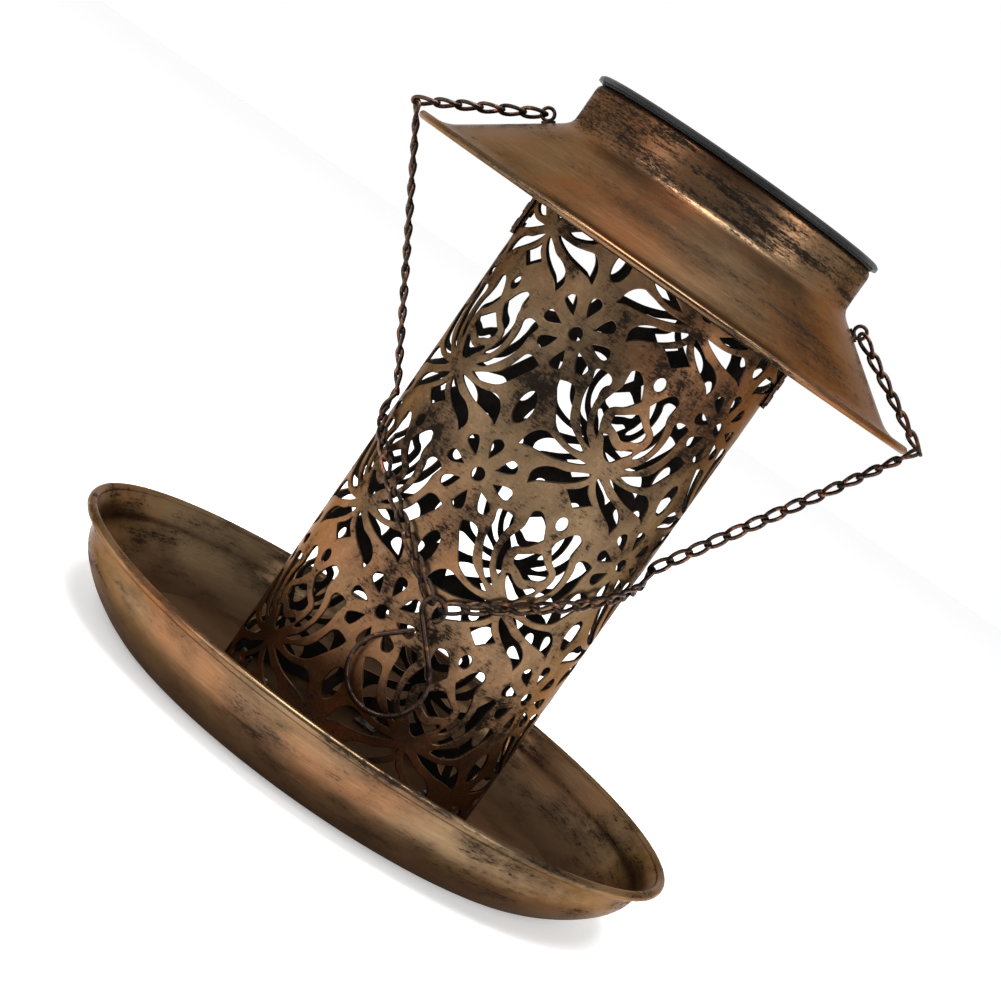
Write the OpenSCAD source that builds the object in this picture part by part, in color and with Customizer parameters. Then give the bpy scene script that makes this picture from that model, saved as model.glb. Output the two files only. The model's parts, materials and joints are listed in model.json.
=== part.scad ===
// Hanging lantern bird feeder with a solar lamp in its roof.
// The dish stands on its foot ring at z = 0; the lantern and roof rise from its middle.

/* [Dish] */
// Outside diameter over the rolled lip
dish_d = 220; // [200:1:240]
// Height of the dish over its rolled lip
dish_h = 27; // [25:0.5:32]
// Height of the raised floor's upper face
floor_z = 4; // [3.5:0.1:5]
// Thickness of every spun or rolled sheet part
sheet = 0.8; // [0.6:0.1:1]

/* [Lantern] */
// Outside diameter of the cut-out cylinder
tube_d = 94; // [92:0.5:96]
// Height of the cylinder's upper edge above the ground
tube_top = 186; // [180:1:190]
// Number of flower columns around the cylinder
columns = 5; // [4:1:5]
// Height of one row of the cut-out pattern
row_h = 50.7; // [50:0.1:51.5]
// Height of the lowest flower's heart
first_heart = 24.4; // [24:0.1:25]
// Direction of the first flower column, seen from above
first_column = -69.3; // [-90:0.1:-50]

/* [Roof] */
// Diameter over the roof's rolled hem
roof_d = 184; // [178:1:190]
// Height of the hem's underside above the ground
roof_z = 179.5; // [176:0.5:182]
// Radius of the rolled hem
hem_r = 1.25; // [1:0.05:1.5]
// Outside diameter of the drum that holds the lamp
drum_d = 102.6; // [100:0.2:105]
// Height of the drum's upper edge above the hem
drum_top = 40.4; // [38:0.2:42]

/* [Lamp] */
// Diameter of the lamp's flange
flange_d = 104.4; // [103:0.2:106]
// Thickness of the lamp's flange
flange_h = 1.8; // [1.5:0.1:2.5]
// Side of the square solar cell
cell_w = 60; // [50:1:62]
// Travel of the slide switch
switch_travel = 3; // [2:0.5:3]

/* [Chain and hook] */
// Wire of a chain link
link_wire = 1.15; // [1:0.05:1.2]
// Width of a chain link
link_w = 4.4; // [4.3:0.1:4.6]
// Distance of the chain's eyes from the axis
eye_x = 57.5; // [57:0.5:58.5]
// Wire of the hook
hook_wire = 1.6; // [1.4:0.1:1.8]
// Radius of the hook's large loop
hook_r = 12.5; // [11:0.5:13]

/* [Hidden] */
$fn = 64;

eps = 0.01;
dish_r = dish_d / 2;
tube_r = tube_d / 2;
rivet_hole = 2.4;
bolt_hole_d = 2.4;
roof_r = roof_d / 2;
drum_r = drum_d / 2;
bronze = [0.45, 0.34, 0.22];
dark_bronze = [0.25, 0.18, 0.13];
black_plastic = [0.08, 0.08, 0.09];
steel = [0.7, 0.7, 0.72];

// ---- sheet helpers: a profile [radius, height] thickened towards one side ----
function unit(v) = v / norm(v);
function side(a, b) = let (u = unit(b - a)) [-u[1], u[0]];
function normal_at(p, i) =
    i == 0 ? side(p[0], p[1])
    : i == len(p) - 1 ? side(p[i - 1], p[i])
    : let (n = side(p[i - 1], p[i]) + side(p[i], p[i + 1])) n * 2 / (n * n);
function offset_line(p, t) = [for (i = [0 : len(p) - 1]) p[i] + normal_at(p, i) * t];
function reversed(p) = [for (i = [len(p) - 1 : -1 : 0]) p[i]];
function toward(a) = [cos(a), sin(a)];
function arc(c, r, a0, a1, n) = [for (i = [0 : n]) c + r * toward(a0 + (a1 - a0) * i / n)];
module spun(profile, t) {
    rotate_extrude($fn = 96) polygon(concat(profile, reversed(offset_line(profile, t))));
}

// ---- places of the fasteners ----
base_angles = [-30, 84, 210];
foot_hole_r = 36;
bracket_t = 1;
base_w = 8;
base_leg_x = 45;
wall_in = tube_r - sheet;
base_rivet_z = floor_z + 6;
roof_bracket_w = 14;
roof_rivet_z = roof_z - 7;
roof_rivets = [roof_rivet_z - 3, roof_rivet_z + 3];
lamp_z = roof_z + drum_top;

// ---- dish ----
foot_r = 84;
foot_flat = 1.6;
lip_r = 1.6;
dish_line = concat([[foot_r + foot_flat, 0], [90, 2.4], [96, 6.7], [101, 11.7], [103.6, 16]],
    arc([111.3, 19], 7, 180, 122, 4));
module dish() color(bronze) difference() {
    dish_body();
    for (a = base_angles)
        rotate([0, 0, a]) translate([foot_hole_r, 0, 0]) cylinder(d = 3.4, h = floor_z + 1, $fn = 32);
}
module dish_body() {
    spun(dish_line, sheet);
    // foot ring and the raised floor inside it
    rotate_extrude($fn = 96)
        polygon([[0, floor_z - sheet], [79.4, floor_z - sheet], [foot_r - foot_flat, 0],
            [foot_r + foot_flat, 0], [foot_r + foot_flat - 0.2, sheet], [foot_r - 1.2, sheet],
            [80, floor_z], [0, floor_z]]);
    translate([0, 0, dish_h - lip_r])
        rotate_extrude($fn = 96) translate([dish_r - lip_r, 0]) circle(r = lip_r);
}

// ---- cut-out pattern of the lantern ----
// A leaf is a hole that starts in a point and ends blunt; a petal is a kite.
function leaf(l, w) = [[0, 0], [l * 0.7, w * 0.5], [l, w * 0.2], [l, -w * 0.2], [l * 0.7, -w * 0.5]];
function petal(l, w) = [[0, 0], [l * 0.55, w * 0.5], [l, 0], [l * 0.55, -w * 0.5]];
// Leaves around a flower's heart on its left side: start x, start y, direction, length, width
leaves = [[-4.5, -2, 188, 19.5, 4.5], [-2, -4.4, 212, 17.5, 4.2], [-8, 0.8, 147, 20, 3.8],
    [-7.5, 4, 115, 21, 3.2], [-8, 8.4, 87, 20, 3.6]];
diamond_y = -10.9;
heart_y = 14.3;
dot_y = 29.8;
daisy_y = 28;
eye_y = 1.6;
daisy_petal = [5.6, 6.6, 3.8];
module prism(points) rotate([90, 0, 90]) linear_extrude(height = 8) polygon(points);
// Puts a radial cutter on the wall at arc distance x from the column and height z
module on_wall(column_angle, x, z) {
    rotate([0, 0, column_angle + x / tube_r * 180 / PI]) translate([tube_r - 4, 0, z]) children();
}
function turned(points, a) =
    [for (p = points) [p[0] * cos(a) - p[1] * sin(a), p[0] * sin(a) + p[1] * cos(a)]];
// An outline of length l turned by a, about its middle
function centred(points, l, a) = [for (p = turned(points, a)) p - l / 2 * toward(a)];
function inside(z) = z > floor_z + 5 && z < tube_top - 8;
module flower_cuts(angle, z) {
    for (side_x = [-1, 1]) for (f = leaves) {
        a = f[2];
        cx = f[0] + f[3] / 2 * cos(a);
        cz = f[1] + f[3] / 2 * sin(a);
        if (inside(z + cz + 5) && inside(z + cz - 5))
            on_wall(angle, -side_x * cx, z + cz)
                prism([for (p = centred(leaf(f[3], f[4]), f[3], a)) [-side_x * p[0], p[1]]]);
    }
    if (inside(z + diamond_y - 4))
        on_wall(angle, 0, z + diamond_y) prism([[-4.5, 0], [0, -4], [4.5, 0], [0, 4]]);
    if (inside(z + heart_y + 6))
        on_wall(angle, 0, z + heart_y) prism([[0, -3.6], [6, 0], [0, 4.4], [-6, 0]]);
    if (inside(z + dot_y))
        on_wall(angle, 0, z + dot_y) rotate([0, 90, 0]) cylinder(r = 1.8, h = 8, $fn = 24);
}
module daisy_cuts(angle, z) {
    if (inside(z)) on_wall(angle, 0, z) rotate([0, 90, 0]) cylinder(r = 2.2, h = 8, $fn = 24);
    for (k = [0 : 7]) {
        a = k * 45;
        r = daisy_petal[0] + daisy_petal[1] / 2;
        if (inside(z + r * sin(a) - 3))
            on_wall(angle, r * cos(a), z + r * sin(a))
                prism(centred(petal(daisy_petal[1], daisy_petal[2]), daisy_petal[1], a));
    }
}
module lantern_tube() color(bronze) difference() {
    translate([0, 0, floor_z]) cylinder(r = tube_r, h = tube_top - floor_z, $fn = 96);
    translate([0, 0, floor_z - eps]) cylinder(r = tube_r - sheet, h = tube_top - floor_z + 2 * eps, $fn = 96);
    for (a = base_angles)
        rotate([0, 0, a]) translate([tube_r - 4, 0, base_rivet_z]) rotate([0, 90, 0])
            cylinder(d = rivet_hole, h = 8, $fn = 32);
    for (a = [0, 180]) rotate([0, 0, a]) for (z = roof_rivets)
        translate([tube_r - 4, 0, z]) rotate([0, 90, 0]) cylinder(d = rivet_hole, h = 8, $fn = 32);
    for (c = [0 : columns - 1]) for (row = [0 : 3]) {
        angle = first_column + c * 360 / columns;
        midway = angle - 180 / columns;
        z = first_heart + row * row_h;
        flower_cuts(angle, z);
        daisy_cuts(midway, z + daisy_y);
        if (inside(z + eye_y - 4) && inside(z + eye_y + 4))
            on_wall(midway, 0, z + eye_y) prism([[-3, 0], [0, -4.4], [3, 0], [0, 4.4]]);
    }
}

// ---- what holds the lantern on the dish ----
module base_brackets() color(dark_bronze) for (a = base_angles) rotate([0, 0, a]) difference() {
    union() {
        translate([30, -base_w / 2, floor_z]) cube([base_leg_x - 30 + eps, base_w, bracket_t]);
        translate([base_leg_x, -base_w / 2, floor_z]) cube([bracket_t, base_w, 10]);
    }
    translate([foot_hole_r, 0, floor_z - 1]) cylinder(d = 3.4, h = 4, $fn = 32);
    translate([wall_in - 4, 0, base_rivet_z]) rotate([0, 90, 0]) cylinder(d = rivet_hole, h = 8, $fn = 32);
}
// A flat-headed rivet along +X, its shank from x0 to x1 and its heads beyond both ends
module rivet(x0, x1, d, head) {
    translate([x0 - 0.8, 0, 0]) rotate([0, 90, 0]) cylinder(d = head, h = 0.8, $fn = 32);
    translate([x0 - eps, 0, 0]) rotate([0, 90, 0]) cylinder(d = d, h = x1 - x0 + 2 * eps, $fn = 32);
    translate([x1, 0, 0]) rotate([0, 90, 0]) cylinder(d = head, h = 0.6, $fn = 32);
}
module base_rivets() color(dark_bronze) for (a = base_angles) rotate([0, 0, a])
    translate([0, 0, base_rivet_z]) rivet(base_leg_x, tube_r, rivet_hole, 4);
module base_screws() color(steel) for (a = base_angles) rotate([0, 0, a]) translate([foot_hole_r, 0, 0]) {
    translate([0, 0, floor_z - sheet - 1.6]) cylinder(d = 6, h = 1.6, $fn = 32);
    translate([0, 0, floor_z - sheet - eps]) cylinder(d = 3, h = 6, $fn = 32);
}
module base_nuts() color(steel) for (a = base_angles)
    rotate([0, 0, a]) translate([foot_hole_r, 0, floor_z + bracket_t]) difference() {
        cylinder(d = 6.35, h = 2.4, $fn = 6);
        translate([0, 0, -eps]) cylinder(d = 3, h = 3, $fn = 32);
    }

// ---- roof ----
neck_z = roof_z + 25.2;
cone_r0 = 82;
cone_z0 = roof_z + 3;
brim_z = roof_z + 2 * hem_r - sheet;
hem_c = roof_r - hem_r;
cone_low = [cone_r0, cone_z0 - sheet + 0.4];
cone_high = [54, neck_z - 2.6];
cone_slope = atan((cone_high[1] - cone_low[1]) / (cone_low[0] - cone_high[0]));
// Underside of the roof from the hem up to the drum's inner edge
roof_line = [[hem_c, brim_z], [cone_r0 + 4, brim_z], cone_low, cone_high,
    [drum_r - sheet + 0.6, neck_z - 0.4], [drum_r - sheet, neck_z + 1.6],
    [drum_r - sheet, lamp_z - 1.6], [drum_r - 2, lamp_z - sheet], [48.6, lamp_z - sheet]];
function cone_under(r) = cone_low[1] + (cone_low[0] - r) * tan(cone_slope);
module on_cone() {
    translate([eye_x, 0, cone_under(eye_x) + sheet / cos(cone_slope)]) rotate([0, cone_slope, 0]) children();
}
module bolt_hole() on_cone() translate([0, 0, -6]) cylinder(d = bolt_hole_d, h = 12, $fn = 32);
module roof() color(bronze) difference() {
    union() {
        spun(roof_line, -sheet);
        translate([0, 0, roof_z + hem_r]) rotate_extrude($fn = 96) translate([hem_c, 0]) circle(r = hem_r);
    }
    bolt_hole();
    mirror([1, 0, 0]) bolt_hole();
}
// Strip from the wall of the lantern up to the underside of the cone
// Its top lies a little under the cone, because the strip is flat and the cone is round
bracket_drop = 0.35;
bracket_x = [eye_x - 6, eye_x + 4.5];
bracket_line = concat([[tube_r, roof_rivet_z - 6], [tube_r, roof_rivet_z + 6]],
    [for (x = bracket_x) [x, cone_under(x) - bracket_drop]]);
module roof_bracket() difference() {
    translate([0, roof_bracket_w / 2, 0]) rotate([90, 0, 0]) linear_extrude(height = roof_bracket_w)
        polygon(concat(bracket_line, reversed(offset_line(bracket_line, -bracket_t))));
    for (z = roof_rivets) translate([tube_r - 4, 0, z]) rotate([0, 90, 0])
        cylinder(d = rivet_hole, h = 8, $fn = 32);
    bolt_hole();
}
module roof_brackets() color(dark_bronze) {
    roof_bracket();
    mirror([1, 0, 0]) roof_bracket();
}
module bracket_rivets() color(dark_bronze) for (a = [0, 180]) rotate([0, 0, a]) for (z = roof_rivets)
    translate([0, 0, z]) rivet(wall_in - 0.05, tube_r + bracket_t, rivet_hole, 4);
module eye_bolt() {
    on_cone() translate([0, 0, -5]) cylinder(d = bolt_hole_d, h = 5.6, $fn = 32);
    on_cone() cylinder(d = 4.6, h = 0.8, $fn = 32);
    on_cone() translate([0, 0, ring_up]) rotate([90, 0, 0])
        rotate_extrude($fn = 48) translate([ring_r, 0]) circle(d = ring_wire, $fn = 24);
}
module left_eye_bolt() color(dark_bronze) mirror([1, 0, 0]) eye_bolt();
module right_eye_bolt() color(dark_bronze) eye_bolt();
module eye_bolt_nuts() color(dark_bronze) for (m = [0, 1]) mirror([m, 0, 0]) on_cone()
    translate([0, 0, -sheet - bracket_t - bracket_drop - 2.3]) difference() {
        cylinder(d = 5.2, h = 1.8, $fn = 6);
        translate([0, 0, -eps]) cylinder(d = bolt_hole_d, h = 3, $fn = 32);
    }

// ---- solar lamp ----
cup_r = 47.8;
cup_h = 22;
cup_t = 1.6;
deck_z = lamp_z - 1.2;
gasket_h = 0.6;
module lamp_housing() color(black_plastic) {
    lamp_cup();
    plate_bosses();
}
module lamp_cup() difference() {
    union() {
        translate([0, 0, lamp_z + gasket_h]) cylinder(d = flange_d, h = flange_h - 0.6, $fn = 96);
        translate([0, 0, lamp_z + gasket_h + flange_h - 0.6])
            cylinder(d1 = flange_d, d2 = flange_d - 1.6, h = 0.6, $fn = 96);
        translate([0, 0, lamp_z - cup_h]) cylinder(r = cup_r, h = cup_h + gasket_h + eps, $fn = 96);
    }
    // recess of the cover and the pocket of the cell
    translate([0, 0, lamp_z + gasket_h + flange_h - 1.1]) cylinder(r = 45.6, h = 2, $fn = 96);
    translate([-cell_w / 2 - 0.3, -cell_w / 2 - 0.3, deck_z + 1]) cube([cell_w + 0.6, cell_w + 0.6, 3]);
    // inside of the cup, open below
    translate([0, 0, lamp_z - cup_h - 1]) cylinder(r = cup_r - cup_t, h = cup_h - 0.2, $fn = 96);
    // way of the cell's leads
    translate([19, -8, deck_z - 4]) cube([4, 6, 8]);
}
module clear_cover() color([0.3, 0.35, 0.45, 0.5])
    translate([0, 0, lamp_z + gasket_h + flange_h - 1.1]) cylinder(r = 45.5, h = 0.9, $fn = 96);
module solar_cell() color([0.05, 0.07, 0.2])
    translate([-cell_w / 2, -cell_w / 2, deck_z + 1]) cube([cell_w, cell_w, 1]);
module lamp_gasket() color([0.15, 0.15, 0.15]) translate([0, 0, lamp_z]) difference() {
    cylinder(r = 50.6, h = gasket_h, $fn = 96);
    translate([0, 0, -eps]) cylinder(r = cup_r, h = gasket_h + 1, $fn = 96);
}
base_plate_z = lamp_z - cup_h;
base_plate_t = 1.6;
plate_top = base_plate_z + base_plate_t;
plate_screws = [45, 165, 285];
screw_r = 41;
module lamp_base() color(black_plastic) difference() {
    union() {
        translate([0, 0, base_plate_z]) cylinder(r = cup_r - cup_t - 0.1, h = base_plate_t, $fn = 96);
        // cradle of the battery
        for (x = [-28, 26.1]) translate([x, 10, plate_top - eps]) cube([1.2, 16, 9]);
        // posts of the circuit board
        for (x = [-11, 11]) for (y = [-22, -6])
            translate([x, y, plate_top - eps]) cylinder(d = 4, h = 3, $fn = 32);
    }
    for (a = plate_screws) rotate([0, 0, a]) translate([screw_r, 0, base_plate_z - 1])
        cylinder(d = 2.6, h = 4, $fn = 32);
    // window of the lens and slot of the switch
    translate([0, -14, base_plate_z - 1]) cylinder(d = 9, h = 4, $fn = 48);
    translate([17, -16, base_plate_z - 1]) cube([4, 4 + switch_travel + 1, 4]);
}
module plate_bosses() for (a = plate_screws)
    rotate([0, 0, a]) translate([screw_r, 0, plate_top]) difference() {
    cylinder(d = 6, h = cup_h - base_plate_t - 1, $fn = 32);
    translate([0, 0, -eps]) cylinder(d = 2.2, h = 8, $fn = 32);
}
module base_plate_screws() color(steel) for (a = plate_screws)
    rotate([0, 0, a]) translate([screw_r, 0, base_plate_z]) {
    translate([0, 0, -1.4]) cylinder(d = 4.6, h = 1.4, $fn = 32);
    translate([0, 0, -eps]) cylinder(d = 2.2, h = 7, $fn = 32);
}
board_z = plate_top + 3 - eps;
module circuit_board() color([0.1, 0.4, 0.2]) translate([-14, -26, board_z]) difference() {
    cube([36, 24, 1.2]);
    translate([14, 12, -1]) cylinder(d = 3, h = 4, $fn = 24);
}
module led() color([1, 0.95, 0.7]) translate([0, -14, board_z]) {
    translate([0, 0, -2.2]) cylinder(d = 5, h = 2.2, $fn = 32);
    translate([0, 0, -2.2]) sphere(d = 4.6, $fn = 32);
    translate([0, 0, -eps]) cylinder(d = 1, h = 3, $fn = 24);
}
module led_lens() color([0.9, 0.9, 0.85, 0.6]) translate([0, -14, base_plate_z]) difference() {
    union() {
        cylinder(d = 8.9, h = base_plate_t, $fn = 48);
        translate([0, 0, -0.8]) cylinder(d = 11, h = 0.8, $fn = 48);
        intersection() {
            translate([0, 0, -0.8]) sphere(d = 8.9, $fn = 48);
            translate([0, 0, -6]) cylinder(d = 11, h = 5.3, $fn = 48);
        }
    }
    translate([0, 0, -1.6]) cylinder(d = 6.4, h = 6, $fn = 48);
}
battery_d = 14.2;
battery_y = 18;
cell_z = plate_top + battery_d / 2;
module battery() color([0.2, 0.5, 0.3]) translate([-25, battery_y, cell_z]) rotate([0, 90, 0]) {
    cylinder(d = battery_d, h = 49.5, $fn = 48);
    translate([0, 0, 49.5 - eps]) cylinder(d = 5.2, h = 1, $fn = 32);
}
module battery_contacts() color(steel) {
    translate([-26.8, 14, plate_top]) cube([0.5, 8, 11]);
    translate([25.6, 14, plate_top]) cube([0.5, 8, 11]);
    translate([-26.3 - eps, battery_y, cell_z]) rotate([0, 90, 0])
        cylinder(d1 = 8, d2 = 4, h = 1.2, $fn = 32);
}
module switch_body() color([0.75, 0.75, 0.75]) difference() {
    translate([14, -19.5, plate_top]) cube([8, 13, 2.9]);
    translate([17, -16, plate_top - 1]) cube([4, 4 + switch_travel + 1, 3]);
}
module switch_slider() color([0.85, 0.85, 0.85])
    translate([17.3, -15.5, base_plate_z - 1.2]) cube([3.4, 3.4, 4.2]);
module cell_leads() color([0.7, 0.1, 0.1]) for (y = [-6.5, -3.5])
    translate([21, y, board_z + 1.2]) cylinder(d = 1.2, h = deck_z + 1 - board_z - 1.2, $fn = 16);

// ---- chain ----
ring_r = 2;
ring_wire = 1.2;
ring_up = ring_r + 0.9;
link_gap = 0.1;
ring_foot = cone_under(eye_x) + sheet / cos(cone_slope);
ring_c = [eye_x + ring_up * sin(cone_slope), ring_foot + ring_up * cos(cone_slope)];
// Bends of the chain: over the hem, at the side of the lantern, and at the hook's small eye
chain_r = tube_r + 2.5;
hem_bend = [roof_r + 3.4, 0, roof_z + 3.4];
side_angle = 80;
side_z = 100;
front_length = 76;
side_bend = [chain_r * sin(side_angle), -chain_r * cos(side_angle), side_z];
hook_eye_r = 3.6;
hook_eye_z = 62.5;
front_angle = 2.15;
front_z = hook_eye_z + 1.7;
chain_in = ring_r - 0.86;
roof_start = [ring_c[0] + chain_in * 0.86, 0, ring_c[1] - chain_in * 0.51];
roof_links = 6;
side_links = 14;
front_links = 11;
// Height of the chain where it lies round the front of the lantern
function front_point(q) =
    let (a = front_angle + (side_angle - front_angle) * q)
    [chain_r * sin(a), -chain_r * cos(a), front_z + (side_z - front_z) * (1.3 * q - 0.3 * q * q)];
function outward(p) = unit([p[0], p[1], 0]);
function across(u, v) = unit(cross(u, v));
// One link from p to q; its width lies along w
module link(p, q, w) {
    u = unit(q - p);
    z = unit(w - u * (w * u));
    y = cross(z, u);
    m = (p + q) / 2;
    half = round(500 * (norm(q - p) + link_wire + link_gap - (link_w - link_wire))) / 1000;
    multmatrix([[u[0], y[0], z[0], m[0]], [u[1], y[1], z[1], m[1]], [u[2], y[2], z[2], m[2]], [0, 0, 0, 1]])
        link_shape(half, (link_w - link_wire) / 2);
}
module link_shape(half, r) {
    for (s = [0, 180]) rotate([0, s, 0]) {
        translate([half, 0, 0]) rotate([90, 0, 0]) rotate([0, 0, -90])
            rotate_extrude(angle = 180, $fn = 32) translate([r, 0]) circle(d = link_wire, $fn = 16);
        translate([-half, 0, r]) rotate([0, 90, 0]) cylinder(d = link_wire, h = 2 * half, $fn = 16);
    }
}
function between(a, b, t) = a + (b - a) * t;
// Straight run of n links from a to b, each a quarter turn from the one before
module run(a, b, n) {
    u = unit(b - a);
    wide = across([0, 0, 1], u);
    flat = cross(u, wide);
    for (i = [0 : n - 1]) link(between(a, b, i / n), between(a, b, (i + 1) / n), i % 2 == 0 ? wide : flat);
}
// Over a bend, the next run's first link starts inside the last link, clear of its end
end_in = link_wire + 0.15 - (link_wire + link_gap) / 2;
start_out = (link_wire + link_gap) / 2;
roof_way = unit(hem_bend - roof_start);
// The side chain's last link hangs in the plane in which the front chain lifts
drop_angle = 80;
drop_l = 6.3;
drop_way = [0, -cos(drop_angle), -sin(drop_angle)];
drop_top = side_bend - drop_l * drop_way;
side_way = unit(drop_top - hem_bend);
front_lead = 1 - start_out / front_length;
first_turn = 15;
module roof_chain() run(roof_start, hem_bend, roof_links);
module side_chain() {
    run(hem_bend - end_in * roof_way + start_out * side_way, drop_top + end_in * side_way, side_links);
    link(drop_top + start_out * drop_way, side_bend + end_in * drop_way, cross([1, 0, 0], drop_way));
}
module front_chain() for (i = [0 : front_links - 1]) {
    p = front_point(front_lead * (1 - i / front_links));
    q = front_point(front_lead * (1 - (i + 1) / front_links));
    out = outward(p + q);
    turn = 90 * i + first_turn * max(0, 1 - i / 4);
    link(p, q, cos(turn) * out + sin(turn) * across(out, q - p));
}
module left_roof_chain() color(dark_bronze) mirror([1, 0, 0]) roof_chain();
module right_roof_chain() color(dark_bronze) roof_chain();
module left_side_chain() color(dark_bronze) mirror([1, 0, 0]) side_chain();
module right_side_chain() color(dark_bronze) side_chain();
module left_front_chain() color(dark_bronze) mirror([1, 0, 0]) front_chain();
module right_front_chain() color(dark_bronze) front_chain();

// ---- hook ----
hook_y = -chain_r;
hook_loop_z = 38.5;
hook_tangent = acos((hook_eye_r + hook_r) / (hook_eye_z - hook_loop_z));
hook_tail = 10.5;
joint_gap = 0.1;
sleeve_l = 0.8;
sleeve_d = hook_wire + 0.14;
// Arc of wire about [0, z] in the hook's plane, from angle a0 over a sweep of turn degrees
module wire_arc(z, r, a0, turn) {
    gap = joint_gap / r * 180 / PI;
    translate([0, 0, z]) rotate([90, 0, 0]) rotate([0, 0, a0 + gap])
        rotate_extrude(angle = turn - 2 * gap, $fn = 48) translate([r, 0]) circle(d = hook_wire, $fn = 24);
}
// Straight wire from [x, z] in direction a, starting off after a short gap
module wire_line(x, z, a, l, gap)
    translate([x, 0, z]) rotate([0, 90 - a, 0]) translate([0, 0, gap])
        cylinder(d = hook_wire, h = l - 2 * gap, $fn = 24);
// Sleeve that joins two stretches of wire at [x, z], lying in direction a
module sleeve(x, z, a)
    translate([x, 0, z]) rotate([0, 90 - a, 0]) translate([0, 0, -sleeve_l / 2])
        cylinder(d = sleeve_d, h = sleeve_l, $fn = 24);
module s_hook() color(dark_bronze) translate([0, hook_y, 0]) {
    t = hook_tangent;
    x0 = -hook_eye_r * sin(t);
    z0 = hook_eye_z - hook_eye_r * cos(t);
    x1 = hook_r * sin(t);
    z1 = hook_loop_z + hook_r * cos(t);
    slope = atan2(z1 - z0, x1 - x0);
    wire_arc(hook_eye_z, hook_eye_r, -50, 140);
    wire_arc(hook_eye_z, hook_eye_r, 90, 180 - t);
    wire_line(x0, z0, slope, norm([x1 - x0, z1 - z0]), joint_gap);
    wire_arc(hook_loop_z, hook_r, t - 270, 180 - t);
    wire_arc(hook_loop_z, hook_r, -90, 180 - t);
    wire_line(-x1, z1, 90 - t, hook_tail, joint_gap);
    sleeve(0, hook_eye_z + hook_eye_r, 0);
    sleeve(x0, z0, slope);
    sleeve(x1, z1, slope);
    sleeve(0, hook_loop_z - hook_r, 0);
    sleeve(-x1, z1, 90 - t);
}

dish();
lantern_tube();
base_brackets();
base_rivets();
base_screws();
base_nuts();
roof();
roof_brackets();
bracket_rivets();
left_eye_bolt();
right_eye_bolt();
eye_bolt_nuts();
lamp_housing();
clear_cover();
solar_cell();
lamp_gasket();
lamp_base();
base_plate_screws();
circuit_board();
led();
led_lens();
battery();
battery_contacts();
switch_body();
switch_slider();
cell_leads();
left_roof_chain();
right_roof_chain();
left_side_chain();
right_side_chain();
left_front_chain();
right_front_chain();
s_hook();
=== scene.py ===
"""Looks of the hanging lantern bird feeder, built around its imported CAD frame.

Lengths are in mm, except in the materials, lights and camera, which are in metres.
"""

import json
import math

import bpy
from mathutils import Matrix, Vector
from mathutils.geometry import delaunay_2d_cdt


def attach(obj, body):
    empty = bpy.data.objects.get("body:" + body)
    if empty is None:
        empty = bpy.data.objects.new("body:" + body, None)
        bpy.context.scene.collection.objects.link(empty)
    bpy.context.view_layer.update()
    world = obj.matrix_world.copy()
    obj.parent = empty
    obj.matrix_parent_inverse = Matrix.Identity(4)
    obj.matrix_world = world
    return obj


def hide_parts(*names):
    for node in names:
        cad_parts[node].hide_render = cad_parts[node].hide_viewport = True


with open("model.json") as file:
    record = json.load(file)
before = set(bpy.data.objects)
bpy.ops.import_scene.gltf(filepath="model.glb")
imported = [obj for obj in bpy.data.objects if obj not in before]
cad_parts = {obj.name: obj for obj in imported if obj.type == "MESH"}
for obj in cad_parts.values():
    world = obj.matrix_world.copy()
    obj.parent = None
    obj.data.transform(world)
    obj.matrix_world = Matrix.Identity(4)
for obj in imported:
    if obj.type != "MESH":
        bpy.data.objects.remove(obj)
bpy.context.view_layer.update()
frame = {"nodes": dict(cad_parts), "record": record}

MM = 0.001
TAU = 2 * math.pi


# ---------- node helpers ----------


def new_material(name, roughness, metallic=0.0):
    """A material with its node tree and shader."""
    mat = bpy.data.materials.new(name)
    mat.use_nodes = True
    tree = mat.node_tree
    shader = tree.nodes["Principled BSDF"]
    shader.inputs["Roughness"].default_value = roughness
    shader.inputs["Metallic"].default_value = metallic
    return mat, tree, shader


def plug(tree, value, socket):
    """Sets a socket to a number or colour, or links it to another socket."""
    if isinstance(value, bpy.types.NodeSocket):
        tree.links.new(value, socket)
    else:
        socket.default_value = value


def noise(tree, stretch, detail=5.0, roughness=0.6, offset=0.0):
    """Noise over the object's own coordinates, with the given cycles per metre along X, Y and Z."""
    coord = tree.nodes.new("ShaderNodeTexCoord")
    mapping = tree.nodes.new("ShaderNodeMapping")
    mapping.inputs["Scale"].default_value = stretch
    mapping.inputs["Location"].default_value = (offset, offset, offset)
    tex = tree.nodes.new("ShaderNodeTexNoise")
    tex.inputs["Scale"].default_value = 1.0
    tex.inputs["Detail"].default_value = detail
    tex.inputs["Roughness"].default_value = roughness
    tree.links.new(coord.outputs["Object"], mapping.inputs["Vector"])
    tree.links.new(mapping.outputs["Vector"], tex.inputs["Vector"])
    return tex.outputs["Fac"]


def calc(tree, kind, a, b=0.0):
    node = tree.nodes.new("ShaderNodeMath")
    node.operation = kind
    plug(tree, a, node.inputs[0])
    plug(tree, b, node.inputs[1])
    return node.outputs[0]


def span(tree, value, low, high, to_low=0.0, to_high=1.0):
    """Value mapped smoothly from low..high to to_low..to_high."""
    node = tree.nodes.new("ShaderNodeMapRange")
    node.interpolation_type = "SMOOTHSTEP"
    plug(tree, value, node.inputs["Value"])
    for key, v in (("From Min", low), ("From Max", high), ("To Min", to_low), ("To Max", to_high)):
        node.inputs[key].default_value = v
    return node.outputs["Result"]


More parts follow.
